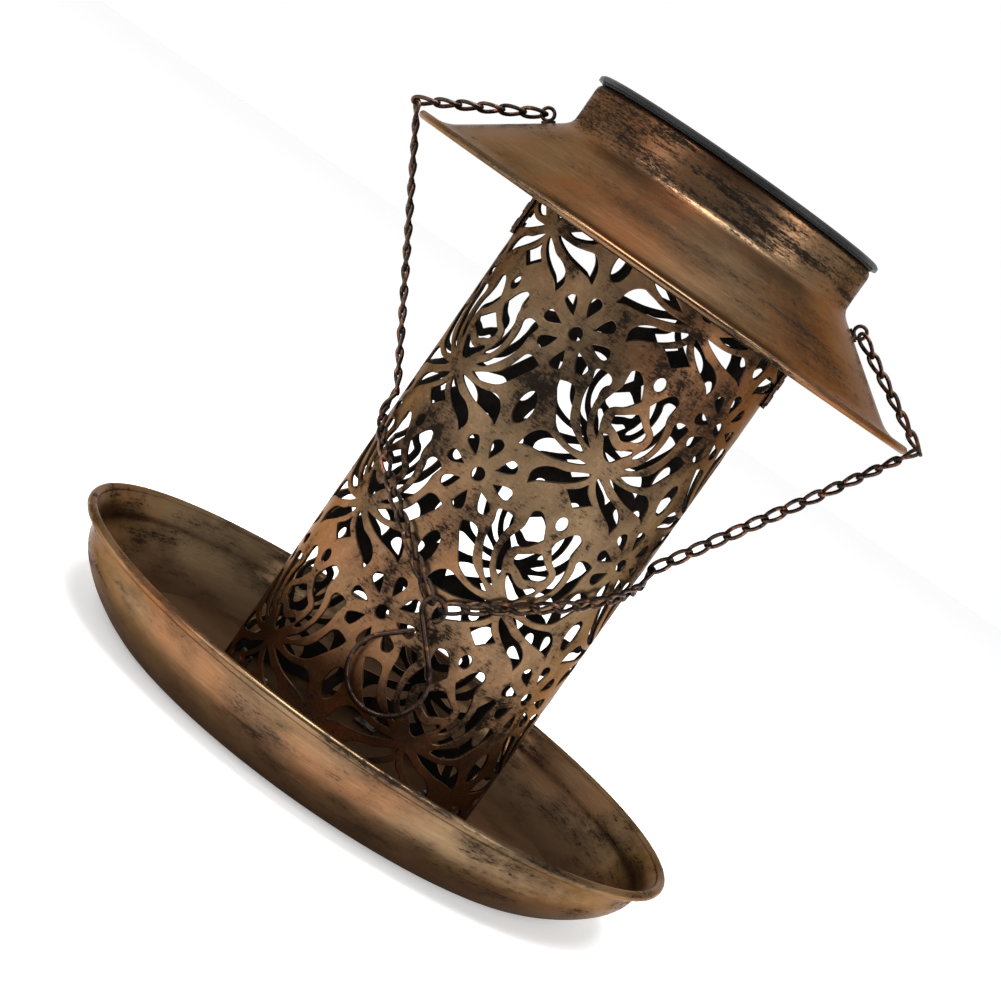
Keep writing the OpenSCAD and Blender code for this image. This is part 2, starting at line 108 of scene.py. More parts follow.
def blend(tree, factor, a, b):
    """Colour a where the factor is 0 and b where it is 1."""
    node = tree.nodes.new("ShaderNodeMix")
    node.data_type = "RGBA"
    plug(tree, factor, node.inputs[0])
    plug(tree, (*a, 1.0) if isinstance(a, tuple) else a, node.inputs[6])
    plug(tree, (*b, 1.0) if isinstance(b, tuple) else b, node.inputs[7])
    return node.outputs[2]


def bump(tree, shader, height, strength, distance):
    node = tree.nodes.new("ShaderNodeBump")
    node.inputs["Strength"].default_value = strength
    node.inputs["Distance"].default_value = distance
    tree.links.new(height, node.inputs["Height"])
    tree.links.new(node.outputs["Normal"], shader.inputs["Normal"])


def attribute(tree, name):
    node = tree.nodes.new("ShaderNodeAttribute")
    node.attribute_name = name
    return node.outputs["Fac"]


def height_of(tree):
    """Height above the floor."""
    coord = tree.nodes.new("ShaderNodeTexCoord")
    axes = tree.nodes.new("ShaderNodeSeparateXYZ")
    tree.links.new(coord.outputs["Object"], axes.inputs[0])
    return axes.outputs[2]


# ---------- materials ----------


def antique_bronze(name, streak, patina, cloud_size, copper_from, low_copper=False, edges=False,
                   foot_painted_shade=False, dark_drum=False, grain_size=(60, 60, 2000)):
    """Brushed bronze with black patina in streaks, clouds and specks, warmer copper in places."""
    mat, tree, shader = new_material(name, 0.4, 0.95)
    shader.inputs["Specular IOR Level"].default_value = 0.25
    shader.inputs["Specular Tint"].default_value = (0.6, 0.47, 0.4, 1)
    streaks = noise(tree, streak, 10.0, 0.78)
    clouds = noise(tree, cloud_size, 4.0, 0.55, 3.0)
    specks = noise(tree, (420, 420, 1500), 5.0, 0.85, 7.0)
    grain = noise(tree, grain_size, 5.0, 0.75, 11.0)
    mix = calc(tree, "ADD", calc(tree, "MULTIPLY", streaks, 0.55), calc(tree, "MULTIPLY", clouds, 0.45))
    mix = calc(tree, "ADD", mix, calc(tree, "MULTIPLY", specks, 0.42))
    if dark_drum:
        mix = calc(tree, "ADD", mix, span(tree, height_of(tree), 0.2, 0.207, 0.0, 0.07))
    dark = span(tree, mix, patina, patina + 0.1)
    smoke = calc(tree, "ADD", clouds, calc(tree, "MULTIPLY", specks, 0.3))
    soot = span(tree, smoke, 0.5, 0.8, 0.0, 0.75)
    copper = span(tree, noise(tree, (14, 14, 20), 2.0, 0.5, 17.0), copper_from, copper_from + 0.28)
    if low_copper:
        copper = calc(tree, "MAXIMUM", copper, span(tree, height_of(tree), 0.015, 0.08, 1.0, 0.0))
    colour = blend(tree, copper, (0.158, 0.101, 0.055), (0.19, 0.078, 0.033))
    pale = span(tree, grain, 0.45, 0.8, 0.0, 0.5)
    colour = blend(tree, pale, colour, (0.3, 0.205, 0.12))
    colour = blend(tree, soot, colour, (0.04, 0.027, 0.017))
    colour = blend(tree, dark, colour, (0.011, 0.008, 0.006))
    if foot_painted_shade:
        # painted shade: the dish's lowest part is darkened towards the floor, standing in for the dark
        # reflection beneath the dish, and is rougher and less metallic there
        low = span(tree, height_of(tree), 0.001, 0.018, 0.85, 0.0)
        colour = blend(tree, low, colour, (0.045, 0.024, 0.013))
        dark = calc(tree, "MAXIMUM", dark, low)
    if edges:
        rim = span(tree, attribute(tree, "edge"), 0.15, 0.9)
        colour = blend(tree, calc(tree, "MULTIPLY", rim, 0.7), colour, (0.03, 0.02, 0.014))
    tree.links.new(colour, shader.inputs["Base Color"])
    rough = calc(tree, "ADD", span(tree, dark, 0.0, 1.0, 0.24, 0.55), calc(tree, "MULTIPLY", grain, 0.1))
    tree.links.new(rough, shader.inputs["Roughness"])
    tree.links.new(span(tree, dark, 0.0, 1.0, 0.97, 0.85), shader.inputs["Metallic"])
    bump(tree, shader, calc(tree, "ADD", grain, calc(tree, "MULTIPLY", streaks, 0.6)), 0.12, 0.0002)
    return mat


def inside_painted_shade():
    """Near-black painted shade on the lantern's inside wall, with a faint bronze haze in patches."""
    mat, tree, shader = new_material("inside_painted_shade", 0.75, 0.2)
    shader.inputs["Specular IOR Level"].default_value = 0.15
    haze = span(tree, noise(tree, (60, 60, 90), 6.0, 0.65), 0.45, 0.75)
    # painted shade: the inside wall is made near black for the shade inside the lantern
    colour = blend(tree, haze, (0.004, 0.0035, 0.003), (0.024, 0.014, 0.009))
    tree.links.new(colour, shader.inputs["Base Color"])
    bump(tree, shader, noise(tree, (1500, 1500, 1500), 3.0), 0.1, 0.0002)
    return mat


def aged_wire(name, base, worn, dark, threshold):
    """Wire with copper showing where its dark finish has rubbed off."""
    mat, tree, shader = new_material(name, 0.42, 0.9)
    spots = noise(tree, (260, 260, 260), 5.0, 0.65, 5.0)
    rubbed = span(tree, spots, threshold, threshold + 0.14)
    black = span(tree, noise(tree, (430, 430, 430), 4.0, 0.6, 9.0), 0.5, 0.62)
    colour = blend(tree, rubbed, base, worn)
    colour = blend(tree, black, colour, dark)
    tree.links.new(colour, shader.inputs["Base Color"])
    tree.links.new(span(tree, black, 0.0, 1.0, 0.36, 0.6), shader.inputs["Roughness"])
    bump(tree, shader, spots, 0.15, 0.0002)
    return mat


def zinc():
    mat, tree, shader = new_material("zinc", 0.35, 1.0)
    cloud = noise(tree, (900, 900, 900), 4.0)
    # painted shade: the zinc is made dark grey so that the base screws and nuts in the lantern's shaded
    # inside stay dark
    colour = blend(tree, span(tree, cloud, 0.35, 0.65), (0.13, 0.13, 0.135), (0.24, 0.235, 0.22))
    tree.links.new(colour, shader.inputs["Base Color"])
    tree.links.new(span(tree, cloud, 0.3, 0.7, 0.28, 0.48), shader.inputs["Roughness"])
    return mat


def moulded(name, a, b, roughness):
    """Moulded plastic or rubber with a fine texture."""
    mat, tree, shader = new_material(name, roughness)
    cloud = noise(tree, (140, 140, 140), 4.0)
    tree.links.new(blend(tree, cloud, a, b), shader.inputs["Base Color"])
    rough = span(tree, cloud, 0.3, 0.7, roughness - 0.06, roughness + 0.08)
    tree.links.new(rough, shader.inputs["Roughness"])
    bump(tree, shader, noise(tree, (1800, 1800, 1800), 2.0), 0.04, 0.0001)
    shader.inputs["Specular IOR Level"].default_value = 0.2
    return mat


def clear_plastic():
    mat, tree, shader = new_material("clear_plastic", 0.06)
    shader.inputs["Transmission Weight"].default_value = 0.85
    shader.inputs["IOR"].default_value = 1.49
    haze = noise(tree, (300, 300, 300), 4.0)
    tree.links.new(blend(tree, haze, (0.32, 0.36, 0.42), (0.4, 0.44, 0.5)), shader.inputs["Base Color"])
    tree.links.new(span(tree, haze, 0.3, 0.7, 0.04, 0.12), shader.inputs["Roughness"])
    return mat


def solar_silicon():
    """Dark blue cell with fine silver fingers across it and wider bars along it."""
    mat, tree, shader = new_material("solar_silicon", 0.25)
    coord = tree.nodes.new("ShaderNodeTexCoord")
    axes = tree.nodes.new("ShaderNodeSeparateXYZ")
    tree.links.new(coord.outputs["Object"], axes.inputs[0])
    finger = calc(tree, "LESS_THAN", calc(tree, "PINGPONG", axes.outputs[1], 0.001), 0.00012)
    bar = calc(tree, "LESS_THAN", calc(tree, "PINGPONG", axes.outputs[0], 0.0075), 0.0005)
    lines = calc(tree, "MAXIMUM", finger, bar)
    crystal = noise(tree, (120, 120, 120), 2.0)
    silicon = blend(tree, crystal, (0.008, 0.012, 0.05), (0.015, 0.03, 0.11))
    tree.links.new(blend(tree, lines, silicon, (0.5, 0.5, 0.5)), shader.inputs["Base Color"])
    return mat


def make_looks():
    """One material for each of the record's slots."""
    return {
        "bronze_steel": antique_bronze("bronze", (26, 26, 520), 0.73, (18, 18, 60), 0.4, dark_drum=True),
        "dark_steel": aged_wire(
            "dark_steel", (0.07, 0.045, 0.03), (0.2, 0.1, 0.05), (0.02, 0.016, 0.014), 0.5
        ),
        "chain_steel": aged_wire(
            "chain_steel", (0.045, 0.027, 0.019), (0.19, 0.074, 0.038), (0.012, 0.009, 0.008), 0.52
        ),
        "zinc_steel": zinc(),
        "black_plastic": moulded("black_plastic", (0.003, 0.003, 0.0035), (0.008, 0.008, 0.009), 0.45),
        "clear_plastic": clear_plastic(),
        "cell_silicon": solar_silicon(),
        "seal_rubber": moulded("seal_rubber", (0.01, 0.01, 0.01), (0.02, 0.02, 0.02), 0.7),
        "board": moulded("board", (0.02, 0.12, 0.05), (0.03, 0.18, 0.07), 0.45),
        "battery_wrap": moulded("battery_wrap", (0.05, 0.22, 0.08), (0.08, 0.3, 0.12), 0.35),
        "lead_jacket": moulded("lead_jacket", (0.35, 0.02, 0.015), (0.45, 0.04, 0.02), 0.4),
        "white_plastic": moulded("white_plastic", (0.72, 0.71, 0.68), (0.8, 0.8, 0.77), 0.4),
    }


# ---------- mesh helpers ----------


def make_object(name, points, faces, materials, face_material=None, sharp=40.0):
    """A smooth-shaded object from points in mm."""
    mesh = bpy.data.meshes.new(name)
    mesh.from_pydata([(x * MM, y * MM, z * MM) for x, y, z in points], [], faces)
    for mat in materials:
        mesh.materials.append(mat)
    if face_material is not None:
        mesh.polygons.foreach_set("material_index", face_material)
    mesh.shade_smooth()
    mesh.set_sharp_from_angle(angle=math.radians(sharp))
    mesh.update()
    obj = bpy.data.objects.new(name, mesh)
    bpy.context.collection.objects.link(obj)
    return obj


def place(obj, body, slot, *nodes):
    """The object stands for CAD nodes and moves with their body."""
    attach(obj, body)
    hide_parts(*nodes)
    return obj


def curve(points, steps, closed=False, corners=()):
    """Catmull-Rom line through 2-D or 3-D points; it breaks at the corner indices."""
    n = len(points)
    pts = [Vector(p) for p in points]
    out = []
    for i in range(n if closed else n - 1):
        a, b = pts[i], pts[(i + 1) % n]
        before = a if (i in corners or (i == 0 and not closed)) else pts[i - 1]
        after = b if ((i + 1) % n in corners or (i == n - 2 and not closed)) else pts[(i + 2) % n]
        for k in range(steps):
            t = k / steps
            out.append(
                a * (1 - 2.5 * t * t + 1.5 * t ** 3)
                + b * (0.5 * t + 2 * t * t - 1.5 * t ** 3)
                + before * (-0.5 * t + t * t - 0.5 * t ** 3)
                + after * (-0.5 * t * t + 0.5 * t ** 3)
            )
    if not closed:
        out.append(pts[-1])
    return out


def offset_line(line, distance, closed=False, limit=1.6):
    """The line moved sideways, to its left for a positive distance."""
    n = len(line)
    out = []
    for i, p in enumerate(line):
        a = line[i - 1] if (i > 0 or closed) else p
        b = line[(i + 1) % n] if (i < n - 1 or closed) else p
        d0, d1 = (p - a), (b - p)
        d0 = d0.normalized() if d0.length > 1e-9 else d1.normalized()
        d1 = d1.normalized() if d1.length > 1e-9 else d0
        n0, n1 = Vector((-d0.y, d0.x)), Vector((-d1.y, d1.x))
        s = n0 + n1
        s = s * (2 / max(s.length_squared, 4 / limit ** 2)) if s.length > 1e-6 else n0
        out.append(p + s * distance)
    return out


def lathe(profiles, turns):
    """Points and faces of closed [radius, height] outlines turned round Z."""
    points, faces = [], []
    for profile in profiles:
        start, n = len(points), len(profile)
        for k in range(turns):
            a = TAU * k / turns
            points += [(r * math.cos(a), r * math.sin(a), z) for r, z in profile]
        for k in range(turns):
            this, nxt = start + k * n, start + ((k + 1) % turns) * n
            for i in range(n):
                j = (i + 1) % n
                if profile[i][0] < 1e-6 and profile[j][0] < 1e-6:
                    continue
                faces.append((this + i, nxt + i, nxt + j, this + j))
    return points, faces


def oval(x, y, rx, ry, steps=14):
    """Closed 2-D oval round x, y."""
    angles = [TAU * k / steps for k in range(steps)]
    return [Vector((x + rx * math.cos(a), y + ry * math.sin(a))) for a in angles]


def tube(path, radius, sides, closed=False, points=None, faces=None):
    """Adds round wire along a 3-D path, with round ends if it is open."""
    points = [] if points is None else points
    faces = [] if faces is None else faces
    n = len(path)
    start = len(points)
    normal = None
    rings = []
    for i, p in enumerate(path):
        before = path[i - 1] if (i > 0 or closed) else p
        after = path[(i + 1) % n] if (i < n - 1 or closed) else p
        along = (after - before).normalized()
        if normal is None:
            normal = along.orthogonal().normalized()
        normal = (normal - along * normal.dot(along)).normalized()
        rings.append((p, along, normal.copy(), along.cross(normal), radius))
    if not closed:
        first, last = rings[0], rings[-1]
        caps = [(math.cos(a), math.sin(a)) for a in (math.radians(72), math.radians(38))]
        head = [(first[0] - first[1] * radius * s, *first[1:4], radius * c) for c, s in caps]
        tail = [(last[0] + last[1] * radius * s, *last[1:4], radius * c) for c, s in reversed(caps)]
        rings = head + rings + tail
    for p, along, u, v, r in rings:
        for k in range(sides):
            a = TAU * k / sides
            points.append(tuple(p + (u * math.cos(a) + v * math.sin(a)) * r))
    m = len(rings)
    twist = 0
    if closed:
        # turn the last ring's numbering so that it meets the first one
        along, u, v = rings[-1][1], rings[-1][2], rings[-1][3]
        first = rings[0][2]
        twist = round(math.atan2(first.dot(v), first.dot(u)) / TAU * sides)
    for i in range(m if closed else m - 1):
        j = (i + 1) % m
        shift = twist if (closed and j == 0) else 0
        for k in range(sides):
            a, b = k, (k + 1) % sides
            c, d = (b - shift) % sides, (a - shift) % sides
            this, nxt = start + i * sides, start + j * sides
            faces.append((this + a, this + b, nxt + c, nxt + d))
    if not closed:
        faces.append(tuple(start + k for k in reversed(range(sides))))
        faces.append(tuple(start + (m - 1) * sides + k for k in range(sides)))
    return points, faces


# ---------- dish ----------

SHEET = 0.8
TURNS = 160
FLOOR_Z = 4.0
FOOT = [(79.4, FLOOR_Z - SHEET), (82.4, 0.0)]
DISH_WALL = [
    (85.6, 0.0), (90, 2.4), (96, 6.7), (101, 11.7), (103.6, 16), (104.4, 19.4), (105.6, 22.6), (107.4, 25.0)
]
# The lip's and the hem's rolls are a radius and a centre in the outline's plane
LIP_R, LIP_C = 1.6, (108.3, 25.3)


def make_dish(mat):
    """Spun dish: flat raised floor, foot ring, curved wall and rolled lip."""
    outside = [Vector(p) for p in FOOT] + curve(DISH_WALL, 5)
    inside = offset_line(outside[2:], SHEET)
    inside[0] = Vector((83.2, 1.3))
    floor = [Vector((80, FLOOR_Z)), Vector((0, FLOOR_Z))]
    profile = [Vector((0, FLOOR_Z - SHEET))] + outside + list(reversed(inside)) + floor
    points, faces = lathe([profile, oval(*LIP_C, LIP_R, LIP_R, 16)], TURNS)
    return place(make_object("dish_look", points, faces, [mat]), "lantern", "bronze_steel", "dish")


# ---------- roof ----------

ROOF_TOP = [
    (90.75, 182.05), (87.6, 182.0), (85.0, 182.25), (82.2, 183.2), (79.0, 185.2), (68.0, 193.0),
    (59.0, 199.45), (55.4, 202.0), (53.0, 203.8), (51.7, 205.5), (51.3, 207.8), (51.3, 217.4)
]
DRUM_EDGE = [(51.3, 217.4), (51.05, 218.6), (50.3, 219.5), (49.3, 219.85), (48.6, 219.9)]
HEM_R, HEM_C = 1.27, (90.7, 180.8)


def make_roof(mat):
    """Spun roof: rolled hem, brim, cone and the drum for the lamp."""
    outside = curve(ROOF_TOP, 5)[:-1] + curve(DRUM_EDGE, 3)
    profile = offset_line(outside, SHEET) + list(reversed(outside))
    points, faces = lathe([profile, oval(*HEM_C, HEM_R, HEM_R, 16)], TURNS)
    return place(make_object("roof_look", points, faces, [mat]), "lantern", "bronze_steel", "roof")


# ---------- cut-out lantern ----------

TUBE_R = 47.0
TUBE_Z = (FLOOR_Z, 186.0)
FIRST_COLUMN = -69.3
COLUMNS = 5
ROW_H = 50.7
FIRST_ROW = 24.4
RIVETS = [(-30, 10), (84, 10), (210, 10), (0, 169.5), (0, 175.5), (180, 169.5), (180, 175.5)]
# Right-hand holes round a flower's heart; the number is the index of the pointed corner
LEAVES = [
    (7, [
        (7.2, 0.5), (11, -0.1), (15, 0.8), (18.3, 2.4), (20.6, 5.3), (22.8, 8.6), (24.8, 11.8), (25.6, 14.2),
        (22.5, 15.2), (20, 14.5), (18.8, 11.8), (17.4, 8.3), (15.8, 5.8), (13.3, 3.9), (9.8, 2.1)
    ]),
    (8, [
        (6.6, 2.9), (9.5, 3.7), (12.2, 6.2), (14.4, 9), (16.3, 12.5), (17.2, 16), (17.4, 19.5), (18.4, 23),
        (16, 24), (13.5, 23.7), (12.3, 22), (13, 19.8), (13.3, 16.5), (12.9, 12.8), (11.7, 9.2), (10, 6.2),
        (8, 4.3)
    ]),
    (12, [
        (6.8, 6.6), (8.6, 7.8), (10.3, 10.6), (11, 13.6), (11, 16.5), (10.2, 19.8), (9, 23), (9.3, 26.5),
        (9.2, 28.6), (7.2, 29.6), (5, 28.4), (3.2, 26), (1.6, 22.8), (3.2, 20.5), (5, 18.4), (7.6, 16.8),
        (8.7, 15.2), (8.8, 13), (8, 10.2), (6.8, 7.8)
    ]),
    (7, [
        (4.5, -1.8), (9, -2), (13, -1.8), (17, -0.9), (19.8, -0.4), (22.2, -1.6), (24, -4.2), (24.9, -8.3),
        (22.8, -7.2), (19, -6.6), (14, -5.8), (9.5, -4.4), (6, -2.9)
    ]),
    (6, [
        (1.3, -3.5), (4.5, -5), (8, -6.9), (12, -7.9), (15.2, -9.9), (16.8, -12.8), (15.9, -16),
        (13.6, -13.8), (10, -12), (6.5, -10), (3.5, -7.6), (1.6, -5.1)
    ]),
]
ROSE = [
    (0.5, 19), (4.5, 16), (6.2, 15), (6.3, 13), (5, 11.5), (3, 10.8), (0.5, 9.6), (-1, 10.2), (-3, 11.3),
    (-5.3, 12.2), (-5.9, 13.8), (-5.8, 15), (-3.5, 16.5), (-1, 18.3)
]
CUP = [
    (-5.5, 8.5), (-4, 9), (-2, 7.6), (0, 6.8), (2, 6.9), (3.5, 8), (5, 9.1), (5.9, 8.4), (5, 6.8),
    (3.8, 5.6), (2.8, 4.2), (1.6, 2.6), (0, 2.2), (-1.6, 3), (-3.2, 5), (-4.6, 7.2)
]
DIAMOND = [(0, -6.5), (1.5, -9), (4.8, -11.3), (2.5, -13), (0, -15), (-2.8, -13), (-5, -11.3), (-1.8, -9)]
PETAL = [
    (5.6, 0), (7.6, 1.0), (9.6, 1.75), (11.4, 1.75), (12.3, 0), (11.4, -1.75), (9.6, -1.75), (7.6, -1.0)
]
# Heights above a flower's heart of the daisies and eyes midway to the next column
DAISY_UP, EYE_UP = 28, 1.6
RIVET_HOLE_R, RIVET_STEPS, RIVET_MARGIN = 1.22, 16, 2.3
# Plain rims left under and over the pattern, and the area in mm2 below which a hole is dropped
RIM_BELOW, RIM_ABOVE, LEAST_AREA = 1.3, 3, 1.5
# The wall's grid, the width and depth of a cut's rounded edge, and how near the seam holes are repeated
GRID_X, GRID_Y = 90, 56
CUT_WIDTH, CUT_BEVEL = 0.36, 0.2
SEAM_REACH = 2


def flower():
    """Outlines of the holes of one flower about its heart."""
    holes = []
    for tip, leaf in LEAVES:
        right = curve(leaf, 3, True, (0, tip))
        holes += [right, [Vector((-p.x, p.y)) for p in reversed(right)]]
    holes += [curve(ROSE, 3, True, (0, 3, 11)), curve(CUP, 3, True, (1, 6))]
    holes.append(curve(DIAMOND, 4, True, (0, 2, 4, 6)))
    holes.append(oval(0.3, 29.8, 1.9, 2.3))
    return holes


def daisy():
    """Outlines of the holes of one daisy about its middle."""
    holes = [oval(0, 0, 2.2, 2.2)]
    petal = curve(PETAL, 3, True, (0,))
    for k in range(8):
        c, s = math.cos(TAU * k / 8), math.sin(TAU * k / 8)
        holes.append([Vector((p.x * c - p.y * s, p.x * s + p.y * c)) for p in petal])
    return holes


def clipped(loop, low, high):
    """The part of an outline between two heights."""
    for sign, level in ((1, low), (-1, high)):
        out = []
        for a, b in zip(loop, loop[1:] + loop[:1]):
            da, db = sign * (a.y - level), sign * (b.y - level)
            if da >= 0:
                out.append(a)
            if (da > 0) != (db > 0) and abs(da - db) > 1e-9:
                out.append(a.lerp(b, da / (da - db)))
        loop = out
    return loop


def area(loop):
    """Signed area, positive for an outline that runs anticlockwise."""
    return 0.5 * sum(a.x * b.y - b.x * a.y for a, b in zip(loop, loop[1:] + loop[:1]))


def all_holes():
    """Every hole on the unrolled wall: x is the arc from direction 90 degrees, y the height."""
    around = TAU * TUBE_R
    cell = around / COLUMNS
    flower_holes, daisy_holes, eye = flower(), daisy(), oval(0, 0, 2.8, 5.5, 24)
    first = math.radians(FIRST_COLUMN - 90) * TUBE_R
    holes = []
    for column in range(COLUMNS):
        for row in range(-1, 4):
            x, y = first + column * cell, FIRST_ROW + row * ROW_H
            spots = [(h, x, y) for h in flower_holes]
            spots += [(h, x + cell / 2, y + DAISY_UP) for h in daisy_holes]
            spots.append((eye, x + cell / 2, y + EYE_UP))
            for loop, dx, dy in spots:
                holes.append([Vector((p.x + dx, p.y + dy)) for p in loop])
    for angle, z in RIVETS:
        arc = math.radians(angle - 90) * TUBE_R
        holes.append(oval(arc, z, RIVET_HOLE_R, RIVET_HOLE_R, RIVET_STEPS))
    rivets = [Vector((math.radians(a - 90) * TUBE_R, z)) for a, z in RIVETS]
    kept = []
    for loop in holes:
        middle = sum(loop, Vector((0, 0))) / len(loop)
        shift = -around * math.floor(middle.x / around)
        loop = [p + Vector((shift, 0)) for p in loop]
        loop = clipped(loop, TUBE_Z[0] + RIM_BELOW, TUBE_Z[1] - RIM_ABOVE)
        if len(loop) < 5 or abs(area(loop)) < LEAST_AREA:
            continue
        # only the rivets' own holes have this number of points; the pattern's holes keep clear of rivets
        near = [
            min((p - r - Vector((k * around, 0))).length for p in loop) for r in rivets for k in (0, 1)
        ]
        if len(loop) != RIVET_STEPS and min(near) < RIVET_MARGIN:
            continue
        kept.append(loop if area(loop) > 0 else list(reversed(loop)))
    return kept, around


def set_wall_normals(obj, n, cut):
    """The rolled wall shades as a true cylinder, apart from the rounded edge of each cut."""
    normals = [v.normal.copy() for v in obj.data.vertices]
    for i in range(2 * n):
        p = obj.data.vertices[i].co
        radial = Vector((p.x, p.y, 0)).normalized()
        if i >= n:
            normals[i] = -radial
        elif cut[i]:
            normals[i] = (radial * 0.5 + normals[i]).normalized()
        else:
            normals[i] = radial
    obj.data.normals_split_custom_set_from_vertices(normals)


def seam_copies(holes, around):
    """The holes, with those at the seam repeated at the unrolled sheet's other end."""
    copies = []
    for loop in holes:
        copies.append(loop)
        low, high = min(p.x for p in loop), max(p.x for p in loop)
        if low < SEAM_REACH:
            copies.append([p + Vector((around, 0)) for p in loop])
        if high > around - SEAM_REACH:
            copies.append([p - Vector((around, 0)) for p in loop])
    return copies


def sheet_border(around):
    """The unrolled sheet's outline, with a point at each step of the grid."""
    z0, z1 = TUBE_Z
    border = [(around * i / GRID_X, z0) for i in range(GRID_X)]
    border += [(around, z0 + (z1 - z0) * j / GRID_Y) for j in range(GRID_Y)]
    border += [(around * (1 - i / GRID_X), z1) for i in range(GRID_X)]
    border += [(0, z1 - (z1 - z0) * j / GRID_Y) for j in range(GRID_Y)]
    return [Vector(p) for p in border]


def cut_sheet(holes, around):
    """The unrolled sheet's points, whether each is on a cut, and its triangles between the holes."""
    verts, edges, hole_faces, is_cut = [], [], [], []

    def add_loop(loop, on_cut):
        start = len(verts)
        verts.extend(loop)
        is_cut.extend([on_cut] * len(loop))
        ring = list(range(start, len(verts)))
        if on_cut:
            hole_faces.append(ring)
        else:
            edges.extend(zip(ring, ring[1:] + ring[:1]))

    for loop in seam_copies(holes, around):
        add_loop(loop, True)
        add_loop(offset_line(loop, -CUT_WIDTH, True), False)
    add_loop(sheet_border(around), False)
    z0, z1 = TUBE_Z
    for i in range(1, GRID_X):
        for j in range(1, GRID_Y):
            x, y = around * (i + 0.5 * (j % 2)) / GRID_X, z0 + (z1 - z0) * j / GRID_Y
            verts.append(Vector((x, y)))
            is_cut.append(False)
    flat, _, tris, origin, _, inside = delaunay_2d_cdt(verts, edges, hole_faces, 0, 1e-5)
    cut = [any(is_cut[k] for k in o) for o in origin]
    kept = []
    for tri, held in zip(tris, inside):
        x = sum(flat[k].x for k in tri) / len(tri)
        y = sum(flat[k].y for k in tri) / len(tri)
        if not held and 0 < x < around and z0 < y < z1:
            kept.append(tri)
    return flat, cut, kept


def sewn(flat, tris, around):
    """The points in use, with the sheet's two ends met at the seam, and triangles of their numbers."""
    index, order, merged = {}, [], {}
    for tri in tris:
        for k in tri:
            if k not in index:
                p = flat[k]
                key = (round((p.x if p.x < around - 1e-4 else 0.0) * 500), round(p.y * 500))
                if key not in merged:
                    merged[key] = len(order)
                    order.append(k)
                index[k] = merged[key]
    numbered = [tuple(index[k] for k in tri) for tri in tris]
    return order, [t for t in numbered if len(set(t)) == 3]


def open_edges(tris):
    """Edges that only one triangle has, in the order in which they come."""
    used = dict.fromkeys((a, b) for t in tris for a, b in zip(t, t[1:] + t[:1]))
    return [(a, b) for a, b in used if (b, a) not in used]


def make_lantern(mat, inside_shade):
    """Rolled wall with the pattern cut through it: bronze outside, near-black painted shade inside."""
    holes, around = all_holes()
    flat, cut, tris = cut_sheet(holes, around)
    order, tris = sewn(flat, tris, around)
    cut = [cut[k] for k in order]
    n = len(order)
    points = []
    for radius, bevel in ((TUBE_R, CUT_BEVEL), (TUBE_R - SHEET, 0.0)):
        for k, on_cut in zip(order, cut):
            a = flat[k].x / TUBE_R + math.pi / 2
            r = radius - (bevel if on_cut else 0.0)
            points.append((r * math.cos(a), r * math.sin(a), flat[k].y))
    # the walls of the cuts have points of their own, so that their edges stay crisp
    rim = open_edges(tris)
    wall = {k: 2 * n + i for i, k in enumerate(sorted({k for pair in rim for k in pair}))}
    m = len(wall)
    points += [points[k] for k in wall] + [points[k + n] for k in wall]
    faces = tris + [tuple(k + n for k in reversed(t)) for t in tris]
    faces += [(wall[b], wall[a], wall[a] + m, wall[b] + m) for a, b in rim]
    look = [0] * len(tris) + [1] * len(tris) + [0] * len(rim)
    obj = make_object("lantern_look", points, faces, [mat, inside_shade], look, 180)
    set_wall_normals(obj, n, cut)
    edge = obj.data.attributes.new("edge", "FLOAT", "POINT")
    edge.data.foreach_set("value", [1.0 if on_cut else 0.0 for on_cut in cut] * 2 + [0.6] * (2 * m))
    return place(obj, "lantern", "bronze_steel", "lantern_tube")


# ---------- chain and hook ----------

CHAIN_R = 49.5
LINK_WIRE = 1.35
LINK_W = 4.4
LINK_STEPS = 26
LINK_TWIST = 40
ROOF_LINKS, SIDE_LINKS, FRONT_LINKS = 6, 14, 11
ROOF_START = Vector((60.17, 0, 202.36))
HEM_BEND = Vector((95.9, 0, 183.0))
# Directions round the lantern from the front, and heights, of the front run's two ends
SIDE_ANGLE, SIDE_Z = 80, 100
FRONT_ANGLE, FRONT_Z = 2.15, 64.2
FRONT_LENGTH = 76
DROP_ANGLE, DROP_LENGTH = math.radians(80), 6.3
# How far a run reaches past a bend, and how far beyond it the next one starts
END_IN = 0.675
START_OUT = 0.625


def on_wall(angle, z):
    """Place on the chain's path round the lantern, at so many degrees from the front."""
    a = math.radians(angle)
    return Vector((CHAIN_R * math.sin(a), -CHAIN_R * math.cos(a), z))


SIDE_BEND = on_wall(SIDE_ANGLE, SIDE_Z)
DROP_WAY = Vector((0, -math.cos(DROP_ANGLE), -math.sin(DROP_ANGLE)))
DROP_TOP = SIDE_BEND - DROP_LENGTH * DROP_WAY


def curb_link(p, q, side, points, faces):
    """A link from p to q whose two ends are twisted against each other."""
    along = (q - p).normalized()
    wide = (side - along * side.dot(along)).normalized()
    third = along.cross(wide)
    middle = (p + q) / 2
    half = ((q - p).length + LINK_WIRE + 0.1) / 2
    width = (LINK_W - LINK_WIRE) / 2
    path = []
    for k in range(LINK_STEPS):
        c, s = math.cos(TAU * k / LINK_STEPS), math.sin(TAU * k / LINK_STEPS)
        x = half * math.copysign(abs(c) ** 0.88, c)
        y = width * math.copysign(abs(s) ** 0.88, s)
        twist = math.radians(LINK_TWIST) * x / half
        path.append(middle + along * x + (wide * math.cos(twist) + third * math.sin(twist)) * y)
    tube(path, LINK_WIRE / 2, 8, True, points, faces)


